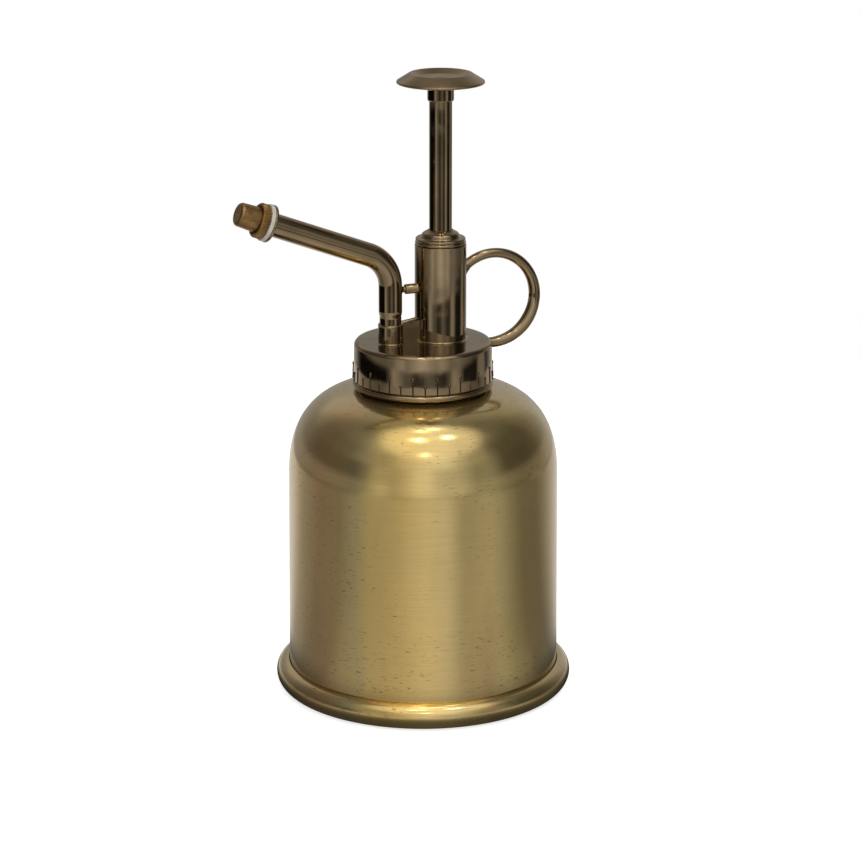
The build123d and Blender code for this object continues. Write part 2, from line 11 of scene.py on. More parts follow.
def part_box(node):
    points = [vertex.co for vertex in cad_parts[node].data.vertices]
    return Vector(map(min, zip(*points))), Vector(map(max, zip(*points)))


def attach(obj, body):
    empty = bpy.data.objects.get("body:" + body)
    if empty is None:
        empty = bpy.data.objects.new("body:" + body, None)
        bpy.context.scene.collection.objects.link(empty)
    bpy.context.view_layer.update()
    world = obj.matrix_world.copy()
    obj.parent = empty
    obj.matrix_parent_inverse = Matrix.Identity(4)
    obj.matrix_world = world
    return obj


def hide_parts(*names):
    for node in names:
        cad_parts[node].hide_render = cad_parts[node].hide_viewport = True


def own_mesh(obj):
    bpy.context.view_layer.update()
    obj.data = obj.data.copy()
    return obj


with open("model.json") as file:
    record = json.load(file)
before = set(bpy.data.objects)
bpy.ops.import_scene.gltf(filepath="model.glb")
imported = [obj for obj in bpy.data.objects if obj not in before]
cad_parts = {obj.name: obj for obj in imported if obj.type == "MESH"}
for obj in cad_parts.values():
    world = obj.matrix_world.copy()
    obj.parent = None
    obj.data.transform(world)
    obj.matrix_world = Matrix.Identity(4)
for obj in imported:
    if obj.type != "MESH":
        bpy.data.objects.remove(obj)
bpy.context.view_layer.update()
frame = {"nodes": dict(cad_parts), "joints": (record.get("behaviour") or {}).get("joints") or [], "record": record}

MM = 0.001
ROUND = 160                     # facets round a large turned piece
SMOOTH_ANGLE = math.radians(32)

# ---- places taken from the frame -------------------------------------------------------------


def low(node):
    """Height of a node's lowest point."""
    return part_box(node)[0].z


def high(node):
    """Height of a node's highest point."""
    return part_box(node)[1].z


def middle(node):
    """Centre of a node's box."""
    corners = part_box(node)
    return (corners[0] + corners[1]) / 2


def half_width(node):
    """Half of a node's width along Y, which is the radius of an upright round piece."""
    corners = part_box(node)
    return (corners[1].y - corners[0].y) / 2


def joint(name):
    """A joint of the record, by name."""
    return next(j for j in frame["joints"] if j["name"] == name)


UP = Vector((0, 0, 1))
tank_axis = Vector((0, 0, 0))
pump_axis = Vector((middle("rod_bush").x, 0, 0))
spout_axis = Vector((middle("spout_socket").x, 0, 0))
arm_way = Vector(joint("nozzle_turn")["axis"]).normalized()
arm_point = Vector(joint("nozzle_turn")["pos_m"])
bend_corner = arm_point + arm_way * ((spout_axis.x - arm_point.x) / arm_way.x)


def along_arm(node):
    """How far a turned piece on the arm reaches, nearest and farthest, from the bend's corner."""
    mesh = frame["nodes"][node].data
    reach = [(v.co - bend_corner).dot(arm_way) for v in mesh.vertices]
    return min(reach), max(reach)


def arm_radius(node):
    """Largest distance of a node from the arm's axis."""
    mesh = frame["nodes"][node].data
    out = [(v.co - bend_corner).cross(arm_way).length for v in mesh.vertices]
    return max(out)


# ---- camera ----------------------------------------------------------------------------------

VIEW_TURN = math.radians(22.0)      # the spout's plane is turned this far towards the camera
VIEW_PITCH = math.radians(16.37)
VIEW_DISTANCE = 0.9676
VIEW_HEIGHT = 0.3734
VIEW_SIDE = 0.00235
LENS_MM = 125.36

forward_flat = Vector((math.sin(VIEW_TURN), math.cos(VIEW_TURN), 0))
to_right = Vector((math.cos(VIEW_TURN), -math.sin(VIEW_TURN), 0))


def make_camera():
    """Camera at the viewing angle of the reference."""
    data = bpy.data.cameras.new("camera")
    data.lens = LENS_MM
    data.sensor_width = 36.0
    data.clip_end = 20.0
    camera = bpy.data.objects.new("camera", data)
    bpy.context.scene.collection.objects.link(camera)
    forward = forward_flat * math.cos(VIEW_PITCH) - UP * math.sin(VIEW_PITCH)
    above = to_right.cross(forward)
    turn = Matrix((to_right, above, -forward)).transposed().to_4x4()
    place = to_right * VIEW_SIDE - forward_flat * VIEW_DISTANCE + UP * VIEW_HEIGHT
    camera.matrix_world = Matrix.Translation(place) @ turn
    bpy.context.scene.camera = camera


# ---- mesh making -----------------------------------------------------------------------------


def rounded(corners, steps=6):
    """An open outline from corners (x, y, radius), in millimetres, with an arc at each radius."""
    points = []
    for i, (x, y, radius) in enumerate(corners):
        here = Vector((x, y))
        if not radius or i in (0, len(corners) - 1):
            points.append(here)
            continue
        back = (Vector(corners[i - 1][:2]) - here).normalized()
        on = (Vector(corners[i + 1][:2]) - here).normalized()
        half = back.angle(on) / 2
        reach = radius / math.tan(half)
        centre = here + (back + on).normalized() * (radius / math.sin(half))
        start = here + back * reach - centre
        end = here + on * reach - centre
        turn = start.angle_signed(end)
        for step in range(steps + 1):
            angle = -turn * step / steps
            c, s = math.cos(angle), math.sin(angle)
            points.append(centre + Vector((c * start.x - s * start.y, s * start.x + c * start.y)))
    return [(p.x, p.y) for p in points]


def arc(centre, radius, first, last, steps=12):
    """Points of an arc in millimetres; angles in degrees from the outward direction, turning up."""
    turns = [math.radians(first + (last - first) * i / steps) for i in range(steps + 1)]
    return [(centre[0] + radius * math.cos(t), centre[1] + radius * math.sin(t)) for t in turns]


def new_piece(name, bm):
    """Turns a bmesh into an object with smooth faces and sharp edges kept."""
    bmesh.ops.recalc_face_normals(bm, faces=bm.faces)
    mesh = bpy.data.meshes.new(name)
    bm.to_mesh(mesh)
    bm.free()
    mesh.polygons.foreach_set("use_smooth", [True] * len(mesh.polygons))
    mesh.set_sharp_from_angle(angle=SMOOTH_ANGLE)
    piece = bpy.data.objects.new(name, mesh)
    bpy.context.scene.collection.objects.link(piece)
    return piece


def frame_about(origin, axis):
    """Matrix from an outline's own space, with Z along the axis, to the row frame."""
    return Matrix.Translation(origin) @ axis.to_track_quat("Z", "Y").to_matrix().to_4x4()


def join_rings(bm, one, two):
    """A band of faces between two rings of as many points."""
    count = len(one)
    for i in range(count):
        k = (i + 1) % count
        bm.faces.new((one[i], one[k], two[k], two[i]))


def add_lathe(bm, outline, origin=tank_axis, axis=UP, facets=ROUND, closed=True, shape=None):
    """Turns an outline of (radius, height) in millimetres about an axis. shape(turn, r, h) may alter r."""
    place = frame_about(origin, axis)
    rings = []
    for r, h in outline:
        if r < 1e-6:
            rings.append([bm.verts.new(place @ Vector((0, 0, h * MM)))])
            continue
        ring = []
        for i in range(facets):
            turn = 2 * math.pi * i / facets
            out = shape(turn, r, h) if shape else r
            spot = Vector((out * math.cos(turn), out * math.sin(turn), h)) * MM
            ring.append(bm.verts.new(place @ spot))
        rings.append(ring)
    pairs = list(zip(rings, rings[1:]))
    if closed and outline[0][0] > 1e-6:
        pairs.append((rings[-1], rings[0]))
    for one, two in pairs:
        for i in range(facets):
            k = (i + 1) % facets
            corners = [one[i % len(one)], one[k % len(one)], two[k % len(two)], two[i % len(two)]]
            unique = list(dict.fromkeys(corners))
            if len(unique) > 2:
                bm.faces.new(unique)


def lathe(name, outline, **places):
    """One turned piece."""
    bm = bmesh.new()
    add_lathe(bm, outline, **places)
    return new_piece(name, bm)


def add_tube(bm, path, radius_at, facets=32, bore=None, side=Vector((0, 1, 0))):
    """A round bar or tube along a path; radius_at(share) gives its radius in metres."""
    count = len(path)
    ends = []
    for wall in [radius_at] + ([bore] if bore else []):
        rings = []
        for i, point in enumerate(path):
            ahead = (path[min(i + 1, count - 1)] - path[max(i - 1, 0)]).normalized()
            out = side - ahead * side.dot(ahead)
            out.normalize()
            over = ahead.cross(out)
            r = wall(i / (count - 1))
            ring = []
            for k in range(facets):
                turn = 2 * math.pi * k / facets
                ring.append(bm.verts.new(point + out * (r * math.cos(turn)) + over * (r * math.sin(turn))))
            rings.append(ring)
        for one, two in zip(rings, rings[1:]):
            join_rings(bm, one, two)
        ends.append((rings[0], rings[-1]))
    for which in (0, 1):
        if bore:
            join_rings(bm, ends[0][which], ends[1][which])
        else:
            bm.faces.new(ends[0][which])


def wear(piece, body, material, slot, *nodes):
    """Gives a piece its material and its body, and hides the CAD nodes that it stands for; slot is not used."""
    piece.data.materials.clear()
    piece.data.materials.append(material)
    if nodes:
        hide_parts(*nodes)
    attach(piece, body)
    return piece


# ---- materials -------------------------------------------------------------------------------


class Shader:
    """A node material: short calls that add nodes and join them."""

    def __init__(self, name, **values):
        self.material = bpy.data.materials.new(name)
        self.material.use_nodes = True
        self.tree = self.material.node_tree
        self.body = self.tree.nodes["Principled BSDF"]
        for key, value in values.items():
            self.body.inputs[key.replace("_", " ")].default_value = value
        self.place = self.add("ShaderNodeTexCoord").outputs["Object"]

    def add(self, kind, **settings):
        node = self.tree.nodes.new(kind)
        for key, value in settings.items():
            setattr(node, key, value)
        return node

    def join(self, out, into):
        self.tree.links.new(out, into)

    def stretch(self, x, y, z):
        """Object coordinates, in metres, times a scale along each axis."""
        node = self.add("ShaderNodeMapping")
        node.inputs["Scale"].default_value = (x, y, z)
        self.join(self.place, node.inputs["Vector"])
        return node.outputs["Vector"]

    def noise(self, where, scale=1.0, detail=3.0, roughness=0.5):
        node = self.add("ShaderNodeTexNoise")
        node.inputs["Scale"].default_value = scale
        node.inputs["Detail"].default_value = detail
        node.inputs["Roughness"].default_value = roughness
        self.join(where, node.inputs["Vector"])
        return node.outputs["Fac"]

    def dot(self, way):
        """How far a point lies along a direction, in metres."""
        node = self.add("ShaderNodeVectorMath", operation="DOT_PRODUCT")
        self.join(self.place, node.inputs[0])
        node.inputs[1].default_value = tuple(way)
        return node.outputs["Value"]

    def ramp(self, turn, stops):
        """A colour by the share of a turn, from stops in degrees either side of the front."""
        node = self.add("ShaderNodeValToRGB")
        self.join(turn, node.inputs["Fac"])
        places = node.color_ramp.elements
        places[0].color = (*stops[0][1], 1)
        places[1].color = (*stops[-1][1], 1)
        for degrees, colour in stops[1:-1]:
            places.new(degrees / 360 + 0.5).color = (*colour, 1)
        return node.outputs["Color"]

    def remap(self, value, low_in, high_in, low_out, high_out):
        node = self.add("ShaderNodeMapRange")
        ends = {"From Min": low_in, "From Max": high_in, "To Min": low_out, "To Max": high_out}
        for key, number in ends.items():
            node.inputs[key].default_value = number
        self.join(value, node.inputs["Value"])
        return node.outputs["Result"]

    def math(self, operation, one, two):
        node = self.add("ShaderNodeMath", operation=operation)
        for value, socket in zip((one, two), node.inputs):
            if isinstance(value, (int, float)):
                socket.default_value = value
            else:
                self.join(value, socket)
        return node.outputs["Value"]

    def mix(self, share, one, two, blend="MIX"):
        """Mixes two colours, each a tuple or a socket."""
        node = self.add("ShaderNodeMix", data_type="RGBA", blend_type=blend)
        for value, socket in ((share, node.inputs[0]), (one, node.inputs[6]), (two, node.inputs[7])):
            if isinstance(value, (int, float)):
                socket.default_value = value
            elif isinstance(value, tuple):
                socket.default_value = (*value, 1.0)
            else:
                self.join(value, socket)
        return node.outputs[2]

    def bump(self, height, strength, distance, after=None):
        node = self.add("ShaderNodeBump")
        node.inputs["Strength"].default_value = strength
        node.inputs["Distance"].default_value = distance
        self.join(height, node.inputs["Height"])
        if after:
            self.join(after, node.inputs["Normal"])
        return node.outputs["Normal"]

    def colour(self, socket):
        self.join(socket, self.body.inputs["Base Color"])

    def rough(self, socket):
        self.join(socket, self.body.inputs["Roughness"])

    def normal(self, socket):
        self.join(socket, self.body.inputs["Normal"])

    def brushed(self):
        """Brushing round the piece's own upright axis."""
        node = self.add("ShaderNodeTangent", direction_type="RADIAL", axis="Z")
        self.join(node.outputs["Tangent"], self.body.inputs["Tangent"])


# Tarnish and painted reflection round the tank, set from the camera's front: the paler, lighter bands near the
# front are painted highlight. Degrees from the front, positive to the right of the front, and a colour.
TARNISH_AND_PAINTED_REFLECTION = (
    (-180, (0.62, 0.45, 0.17)), (-120, (0.57, 0.43, 0.18)), (-85, (0.64, 0.49, 0.23)),
    (-62, (0.6, 0.44, 0.2)), (-48, (0.66, 0.43, 0.2)), (-38, (0.61, 0.46, 0.2)),
    (-30, (0.58, 0.47, 0.22)), (-24, (0.71, 0.53, 0.19)), (-12, (0.75, 0.54, 0.18)),
    (0, (0.75, 0.57, 0.23)), (8, (0.7, 0.55, 0.24)), (16, (0.6, 0.47, 0.2)),
    (26, (0.66, 0.51, 0.21)), (36, (0.63, 0.5, 0.22)), (46, (0.55, 0.43, 0.17)),
    (60, (0.55, 0.41, 0.17)), (90, (0.62, 0.49, 0.24)), (130, (0.66, 0.46, 0.17)),
    (180, (0.62, 0.45, 0.17)),
)


def antique_brass():
    """Spun brass, brushed round, browned and cleaned back, under a clear lacquer, with painted reflection bands
    round it set from the camera's front.
    """
    s = Shader("antique_brass", Metallic=0.9, Anisotropic=0.35, Coat_Weight=0.6, Coat_Roughness=0.04)
    turn = s.math("ARCTAN2", s.dot(to_right), s.dot(-forward_flat))
    wander = s.math("MULTIPLY", s.math("SUBTRACT", s.noise(s.stretch(20, 20, 9), 1.0, 3.0), 0.5), 0.09)
    turn = s.math("ADD", s.math("ADD", s.math("DIVIDE", turn, 2 * math.pi), 0.5), wander)
    # tarnish colour and painted highlight, by the angle from the camera's front
    colour = s.ramp(turn, TARNISH_AND_PAINTED_REFLECTION)
    clouds = s.remap(s.noise(s.stretch(45, 45, 16), 1.0, 4.0, 0.6), 0.35, 0.7, 0.0, 1.0)
    colour = s.mix(clouds, colour, s.mix(1.0, colour, (0.86, 0.88, 0.9), "MULTIPLY"))
    red = s.remap(s.noise(s.stretch(60, 60, 22), 1.3, 3.0), 0.58, 0.75, 0.0, 0.5)
    colour = s.mix(red, colour, (0.56, 0.33, 0.16))
    streak = s.noise(s.stretch(60, 60, 3600), 1.0, 3.0, 0.65)
    colour = s.mix(s.remap(streak, 0.4, 0.72, 0.0, 0.17), colour, (0.3, 0.22, 0.09))
    flecks = s.remap(s.noise(s.stretch(430, 430, 1900), 1.0, 2.0), 0.64, 0.73, 0.0, 1.0)
    patches = s.remap(s.noise(s.stretch(40, 40, 55), 1.0, 2.0), 0.38, 0.56, 0.0, 1.0)
    pits = s.math("MULTIPLY", flecks, patches)
    colour = s.mix(s.math("MULTIPLY", pits, 0.6), colour, (0.08, 0.06, 0.03))
    s.colour(colour)
    s.rough(s.remap(streak, 0.3, 0.7, 0.13, 0.2))
    fine = s.bump(streak, 0.05, 0.0001)
    s.normal(s.bump(pits, 0.25, 0.0002, after=fine))
    s.brushed()
    return s.material


def gunmetal(name="gunmetal_plating", dark=(0.27, 0.208, 0.128), light=(0.37, 0.283, 0.17)):
    """Dark bronze plating, polished, with a slightly uneven surface and faint brown clouds."""
    s = Shader(name, Metallic=1.0)
    clouds = s.noise(s.place, 70, 3.0)
    colour = s.mix(s.remap(clouds, 0.35, 0.7, 0.0, 1.0), dark, light)
    s.colour(colour)
    s.rough(s.remap(s.noise(s.place, 320, 4.0, 0.6), 0.35, 0.75, 0.035, 0.1))
    s.normal(s.bump(s.noise(s.place, 120, 1.0), 0.12, 0.0006))
    return s.material


def satin_bronze():
    """The button's brushed bronze, turned round and round on its face."""
    s = Shader("satin_bronze", Metallic=1.0, Anisotropic=0.6)
    clouds = s.noise(s.place, 160, 3.0)
    s.colour(s.mix(s.remap(clouds, 0.3, 0.7, 0.0, 1.0), (0.27, 0.2, 0.12), (0.37, 0.275, 0.165)))
    s.rough(s.remap(s.noise(s.place, 700, 4.0), 0.3, 0.7, 0.15, 0.22))
    s.brushed()
    return s.material


def nozzle_brass():
    """Antique brass of the nozzle, duller and browner than the tank."""
    s = Shader("nozzle_brass", Metallic=1.0)
    clouds = s.noise(s.place, 330, 4.0, 0.6)
    s.colour(s.mix(s.remap(clouds, 0.35, 0.68, 0.0, 1.0), (0.21, 0.125, 0.05), (0.4, 0.25, 0.1)))
    s.rough(s.remap(s.noise(s.place, 1500, 4.0), 0.3, 0.7, 0.3, 0.46))
    s.normal(s.bump(s.noise(s.place, 2500, 3.0), 0.12, 0.0002))
    return s.material


def plain_metal(name, dark, light, smooth, dull, scale):
    """A turned metal of the inner pieces, with a little colour and gloss variation."""
    s = Shader(name, Metallic=1.0)
    clouds = s.noise(s.place, scale, 3.0)
    s.colour(s.mix(s.remap(clouds, 0.3, 0.7, 0.0, 1.0), dark, light))
    s.rough(s.remap(s.noise(s.stretch(60, 60, 2600), 1.0, 3.0), 0.3, 0.7, smooth, dull))
    return s.material


def plain_plastic(name, dark, light, dull, scale, grain):
    """Nylon, rubber or polyethylene, with faint mottling and a fine grain."""
    s = Shader(name)
    clouds = s.noise(s.place, scale, 3.0)
    s.colour(s.mix(s.remap(clouds, 0.3, 0.7, 0.0, 1.0), dark, light))
    s.rough(s.remap(clouds, 0.3, 0.7, dull - 0.07, dull + 0.07))
    s.normal(s.bump(s.noise(s.place, 4000, 2.0), grain, 0.0001))
    return s.material


brass_mat = antique_brass()
plating_mat = gunmetal()
# painted shade: the ribs wear the cap's plating made darker, to stand for the shade along their sides
rib_painted_shade_mat = gunmetal("gunmetal_ribs_painted_shade", (0.1, 0.075, 0.045), (0.16, 0.12, 0.07))
button_mat = satin_bronze()
nozzle_mat = nozzle_brass()
inner_brass_mat = plain_metal("plain_brass", (0.5, 0.36, 0.17), (0.66, 0.5, 0.26), 0.2, 0.34, 120)
steel_mat = plain_metal("steel", (0.5, 0.5, 0.5), (0.66, 0.66, 0.66), 0.12, 0.22, 200)
nylon_mat = plain_plastic("white_nylon", (0.68, 0.66, 0.6), (0.82, 0.81, 0.77), 0.42, 300, 0.05)
rubber_mat = plain_plastic("black_rubber", (0.018, 0.018, 0.018), (0.04, 0.04, 0.04), 0.6, 200, 0.12)
tube_mat = plain_plastic("milky_tube", (0.6, 0.61, 0.58), (0.74, 0.75, 0.72), 0.35, 150, 0.03)

SLOT_MATERIALS = {
    "antique_brass": brass_mat,
    "gunmetal_plating": plating_mat,
    "satin_bronze": button_mat,
    "nozzle_brass": nozzle_mat,
    "plain_brass": inner_brass_mat,
    "steel": steel_mat,
    "white_nylon": nylon_mat,
    "black_rubber": rubber_mat,
    "milky_tube": tube_mat,
}


def dress_cad_nodes():
    """Every CAD node gets its slot's material, including the ones hidden inside."""
    for row in frame["record"]["subparts"]:
        mesh = frame["nodes"][row["node"]].data
        mesh.materials.clear()
        mesh.materials.append(SLOT_MATERIALS[row["material_slot"]])


# ---- tank ------------------------------------------------------------------------------------

SHEET = 0.8
WALL_HIGH_R = 45.32
WALL_TOP = 73.87
SHOULDER_RUN = 27.42
SHOULDER_RISE = 30.34
SHOULDER_POWER = 2.48
NECK_HOLE_R = 20.3
SHOULDER_STEPS = 44


def shoulder(inset):
    """The superelliptic shoulder, from the wall's top to the neck hole."""
    widest = WALL_HIGH_R - inset
    share = (NECK_HOLE_R - widest + SHOULDER_RUN) / SHOULDER_RUN
    last = math.acos(share ** (SHOULDER_POWER / 2))
    points = []
    for step in range(SHOULDER_STEPS + 1):
        angle = last * (step / SHOULDER_STEPS) ** (SHOULDER_POWER / 2)
        out = SHOULDER_RUN * math.cos(angle) ** (2 / SHOULDER_POWER)
        up = (SHOULDER_RISE - inset) * math.sin(angle) ** (2 / SHOULDER_POWER)
        points.append((widest - SHOULDER_RUN + out, WALL_TOP + up))
    return points


def make_tank():
    """Shell, bottom disc with its pressed rings, rolled bead and the solder round the neck."""
    foot = low("tank_shell") / MM
    wall_low_r = half_width("tank_shell") / MM
    outside = [(wall_low_r, foot)] + shoulder(0)
    inside = shoulder(SHEET)[::-1] + [(wall_low_r - SHEET, foot)]
    shell = lathe("tank_body", outside + inside, facets=256)
    wear(shell, "tank", brass_mat, "antique_brass", "tank_shell")

    plate_r = half_width("base_plate") / MM
    outline = [(0, 0.3), (12, 0.3), (12.5, 0), (27, 0), (27.4, 0.2), (28.2, 0.2), (28.6, 0)]
    outline += [(plate_r, 0), (plate_r, SHEET), (0, SHEET)]
    disc = lathe("base_disc", outline, facets=192, closed=False)
    wear(disc, "tank", brass_mat, "antique_brass", "base_plate")

    bead_r = high("base_bead") / MM / 2
    centre = (plate_r, bead_r)
    outline = arc(centre, bead_r, -90, 86, 44)
    lip = outline[-1]
    outline += [(lip[0] - 0.15, lip[1] - 0.08), (lip[0] - 0.22, lip[1] - 0.4)]
    outline += arc(centre, bead_r - SHEET, 86, -90, 30)
    bead = lathe("base_roll", outline, facets=256)
    wear(bead, "tank", brass_mat, "antique_brass", "base_bead")

    top = high("tank_shell") / MM
    fillet = rounded([(NECK_HOLE_R, top - 0.3, 0), (NECK_HOLE_R, top + 0.7, 0),
                      (NECK_HOLE_R + 0.25, top + 0.15, 0.3), (NECK_HOLE_R + 0.9, top - 0.05, 0),
                      (NECK_HOLE_R + 0.9, top - 0.3, 0)])
    solder = lathe("neck_solder", fillet, facets=128)
    wear(solder, "tank", brass_mat, "antique_brass")


# ---- cap -------------------------------------------------------------------------------------

SKIRT_FOOT = low("cap") / MM + 2.2
SKIRT_RUN = 11.1
SKIRT_TOP_R = 23.0
SKIRT_LOW_R = 23.4
RIBS = 36
RIB_HALF_WIDTH = 0.272
RIB_PROUD = 0.4
RIB_SUNK = 0.06
RIB_FOOT = SKIRT_FOOT - 0.25
RIB_TOPS = (SKIRT_FOOT + 5.5, SKIRT_FOOT + 2.9)
DOT_R = 0.55                    # the round end on each rib
DOT_EXTRA = 0.26                # how much wider than the rib it is, on each side
CAP_BEAD_R = 23.75
CAP_BORE_R = 21.4
CAP_FACETS = 216
CAP_BEAD_DROP = 0.7             # the rolled bead hangs this much below the skirt


def skirt_r(height):
    """Radius of the flared skirt at a height, in millimetres."""
    return SKIRT_LOW_R + (SKIRT_TOP_R - SKIRT_LOW_R) * (height - SKIRT_FOOT) / SKIRT_RUN


def add_rib(bm, turn, top):
    """One raised rib with rounded edges and a round dot at its top."""
    rows, columns = 18, 8
    grid = []
    for i in range(rows + 1):
        z = RIB_FOOT + (top - RIB_FOOT) * i / rows
        from_top = top - z
        dot = math.sqrt(max(0.0, 1 - ((from_top - DOT_R) / DOT_R) ** 2))
        rounding = min(1.0, math.sqrt(max(from_top, 0.0) / 0.3))
        half = max((RIB_HALF_WIDTH + DOT_EXTRA * dot) * rounding, 0.01)
        proud = RIB_PROUD * (0.75 + 0.35 * dot) * min(1.0, math.sqrt(max(from_top, 0.0) / 0.5))
        row = []
        for k in range(columns + 1):
            across = 2 * k / columns - 1
            r = skirt_r(z) - RIB_SUNK + (proud + RIB_SUNK) * math.sqrt(max(0.0, 1 - across**2))
            side = half * across
            x = r * math.cos(turn) - side * math.sin(turn)
            y = r * math.sin(turn) + side * math.cos(turn)
            row.append(bm.verts.new(Vector((x, y, z)) * MM))
        grid.append(row)
    for one, two in zip(grid, grid[1:]):
        for k in range(columns):
            bm.faces.new((one[k], one[k + 1], two[k + 1], two[k]))
    back = [row[0] for row in grid], [row[-1] for row in grid]
    for i in range(rows):
        bm.faces.new((back[0][i], back[0][i + 1], back[1][i + 1], back[1][i]))
    bm.faces.new(grid[0])


def add_holed_disc(bm, faces, hole_r):
    """The deck's upper and under faces, each (outer radius, height), with the pump's hole through both."""
    inner = []
    for outer_r, height in faces:
        rings = []
        for centre, r in ((tank_axis, outer_r), (pump_axis, hole_r)):
            ring = []
            for i in range(CAP_FACETS):
                turn = 2 * math.pi * i / CAP_FACETS
                spot = Vector((r * math.cos(turn), r * math.sin(turn), height)) * MM
                ring.append(bm.verts.new(centre + spot))
            rings.append(ring)
        join_rings(bm, *rings)
        inner.append(rings[1])
    join_rings(bm, *inner)


def make_cap():
    """Screw cap: rounded top edge, flared skirt, ribs, groove and rolled bead."""
    foot, top = low("cap") / MM, high("cap") / MM
    foot -= CAP_BEAD_DROP
    bead = arc((CAP_BEAD_R - 1.1, foot + 1.1), 1.1, -90, 80, 14)
    outline = bead + rounded([
        (CAP_BEAD_R - 0.95, foot + 2.25, 0),
        (CAP_BEAD_R - 0.9, foot + 2.4, 0.05),
        (skirt_r(foot + 2.7), foot + 2.65, 0.1),
        (SKIRT_TOP_R, top, 1.5),
        (20.0, top, 0),
    ], 8)
    under = rounded([(18, top - 1.0, 0), (CAP_BORE_R, top - 1.0, 0.3), (CAP_BORE_R, foot + 0.5, 0.3),
                     (CAP_BEAD_R - 1.1, foot, 0)])
    bm = bmesh.new()
    add_lathe(bm, outline, facets=CAP_FACETS, closed=False)
    add_lathe(bm, under, facets=CAP_FACETS, closed=False)
    add_holed_disc(bm, [(20.0, top), (18.0, top - 1.0)], half_width("pump_cylinder") / MM - 0.4)
    bmesh.ops.remove_doubles(bm, verts=bm.verts, dist=1e-6)
    wear(new_piece("screw_cap", bm), "head", plating_mat, "gunmetal_plating", "cap")
    bm = bmesh.new()
    for i in range(RIBS):
        add_rib(bm, 2 * math.pi * i / RIBS, RIB_TOPS[i % 2])
    wear(new_piece("cap_ribs", bm), "head", rib_painted_shade_mat, "gunmetal_plating")


# ---- pump ------------------------------------------------------------------------------------


def fillet_ring(name, radius, deck, axis):
    """A small hollow-sided fillet of solder round the foot of an upright tube."""
    outline = rounded([(radius - 0.1, deck - 0.2, 0), (radius - 0.1, deck + 0.75, 0),
                       (radius + 0.12, deck + 0.22, 0.5), (radius + 0.75, deck + 0.02, 0),
                       (radius + 0.75, deck - 0.2, 0)])
    return lathe(name, outline, origin=axis, facets=96)


# The dome's outline above its beads: radius, and height over the cylinder's top.
GLAND_DOME = (
    (6.9, 2.16), (6.6, 2.3), (6.42, 2.55), (6.34, 2.85), (6.3, 3.1), (6.2, 3.35), (6.02, 3.62),
    (5.75, 3.86), (5.42, 4.06), (5.05, 4.24), (4.7, 4.42), (4.45, 4.62),
)


def make_pump():
    """Outer cylinder with its solder ring, and the gland with its bead and dome."""
    radius = half_width("pump_cylinder") / MM
    foot, top = low("pump_cylinder") / MM, high("pump_cylinder") / MM
    bore = radius - 0.8
    outline = rounded([(bore, foot, 0), (radius, foot, 0.2), (radius, top, 0.25), (bore, top, 0)])
    cylinder = lathe("pump_body", outline, origin=pump_axis, facets=128)
    wear(cylinder, "head", plating_mat, "gunmetal_plating", "pump_cylinder")

    deck = high("cap") / MM
    wear(fillet_ring("pump_solder", radius, deck, pump_axis), "head", plating_mat, "gunmetal_plating")

    ring_r = half_width("gland_nut") / MM
    crown = high("gland_nut") / MM
    rod_bore = half_width("plunger_rod") / MM + 0.05
    outline = [(rod_bore, top - 1.9), (bore, top - 1.9), (bore, top + 0.02)]
    outline += arc((ring_r - 0.6, top + 0.62), 0.6, -90, 70, 12)
    outline += [(ring_r - 0.45, top + 1.2), (ring_r - 0.45, top + 1.28)]
    outline += arc((ring_r - 0.65, top + 1.72), 0.5, -60, 90, 10)
    outline += [(ring_r - 1.2, top + 2.2)] + [(r, top + up) for r, up in GLAND_DOME]
    outline += [(4.32, crown - 0.06), (4.2, crown)]
    outline += [(rod_bore + 0.1, crown), (rod_bore, crown - 0.1)]
    gland = lathe("gland_dome", outline, origin=pump_axis, facets=112)
    wear(gland, "head", plating_mat, "gunmetal_plating", "gland_nut")


def make_plunger():
    """Rod, ferrule and dished thumb button."""
    rod_r = half_width("plunger_rod") / MM
    foot, top = low("plunger_rod") / MM, high("plunger_rod") / MM
    outline = [(0, foot), (rod_r, foot), (rod_r, top - 1.2), (0, top - 1.2)]
    rod = lathe("rod", outline, origin=pump_axis, facets=72)
    wear(rod, "plunger", plating_mat, "gunmetal_plating", "plunger_rod")

    collar_r = half_width("button_ferrule") / MM
    foot, top = low("button_ferrule") / MM, high("button_ferrule") / MM
    outline = rounded([(rod_r - 0.1, foot, 0), (collar_r - 0.25, foot, 0.1), (collar_r, foot + 0.45, 0.15),
                       (collar_r, top - 0.15, 0.1), (collar_r + 0.25, top, 0), (rod_r - 0.1, top, 0)])
    ferrule = lathe("ferrule", outline, origin=pump_axis, facets=72)
    wear(ferrule, "plunger", plating_mat, "gunmetal_plating", "button_ferrule")

    brim = half_width("thumb_button") / MM
    foot, top = low("thumb_button") / MM, high("thumb_button") / MM
    outline = [(0, foot)] + rounded([
        (4.2, foot, 0),
        (4.8, foot + 0.02, 0.1),
        (brim - 0.5, foot + 0.5, 0.3),
        (brim, foot + 0.7, 0.25),
        (brim - 0.05, foot + 1.3, 0.3),
        (10.35, top - 0.12, 0.25),
        (9.75, top - 0.1, 0.2),
        (7.2, top - 1.5, 2.5),
        (3.6, top - 2.1, 3.0),
        (0.0, top - 2.2, 0),
    ])
    button = lathe("thumb_plate", outline, origin=pump_axis, facets=144)
    wear(button, "plunger", button_mat, "satin_bronze", "thumb_button")


# ---- spout -----------------------------------------------------------------------------------

SPOUT_R = 3.9
SPOUT_FOOT_R = 3.63
SPOUT_BORE_R = 3.1
SPOUT_FOOT_TOP = 3.2            # millimetres above the socket
BEND_R = 12.0


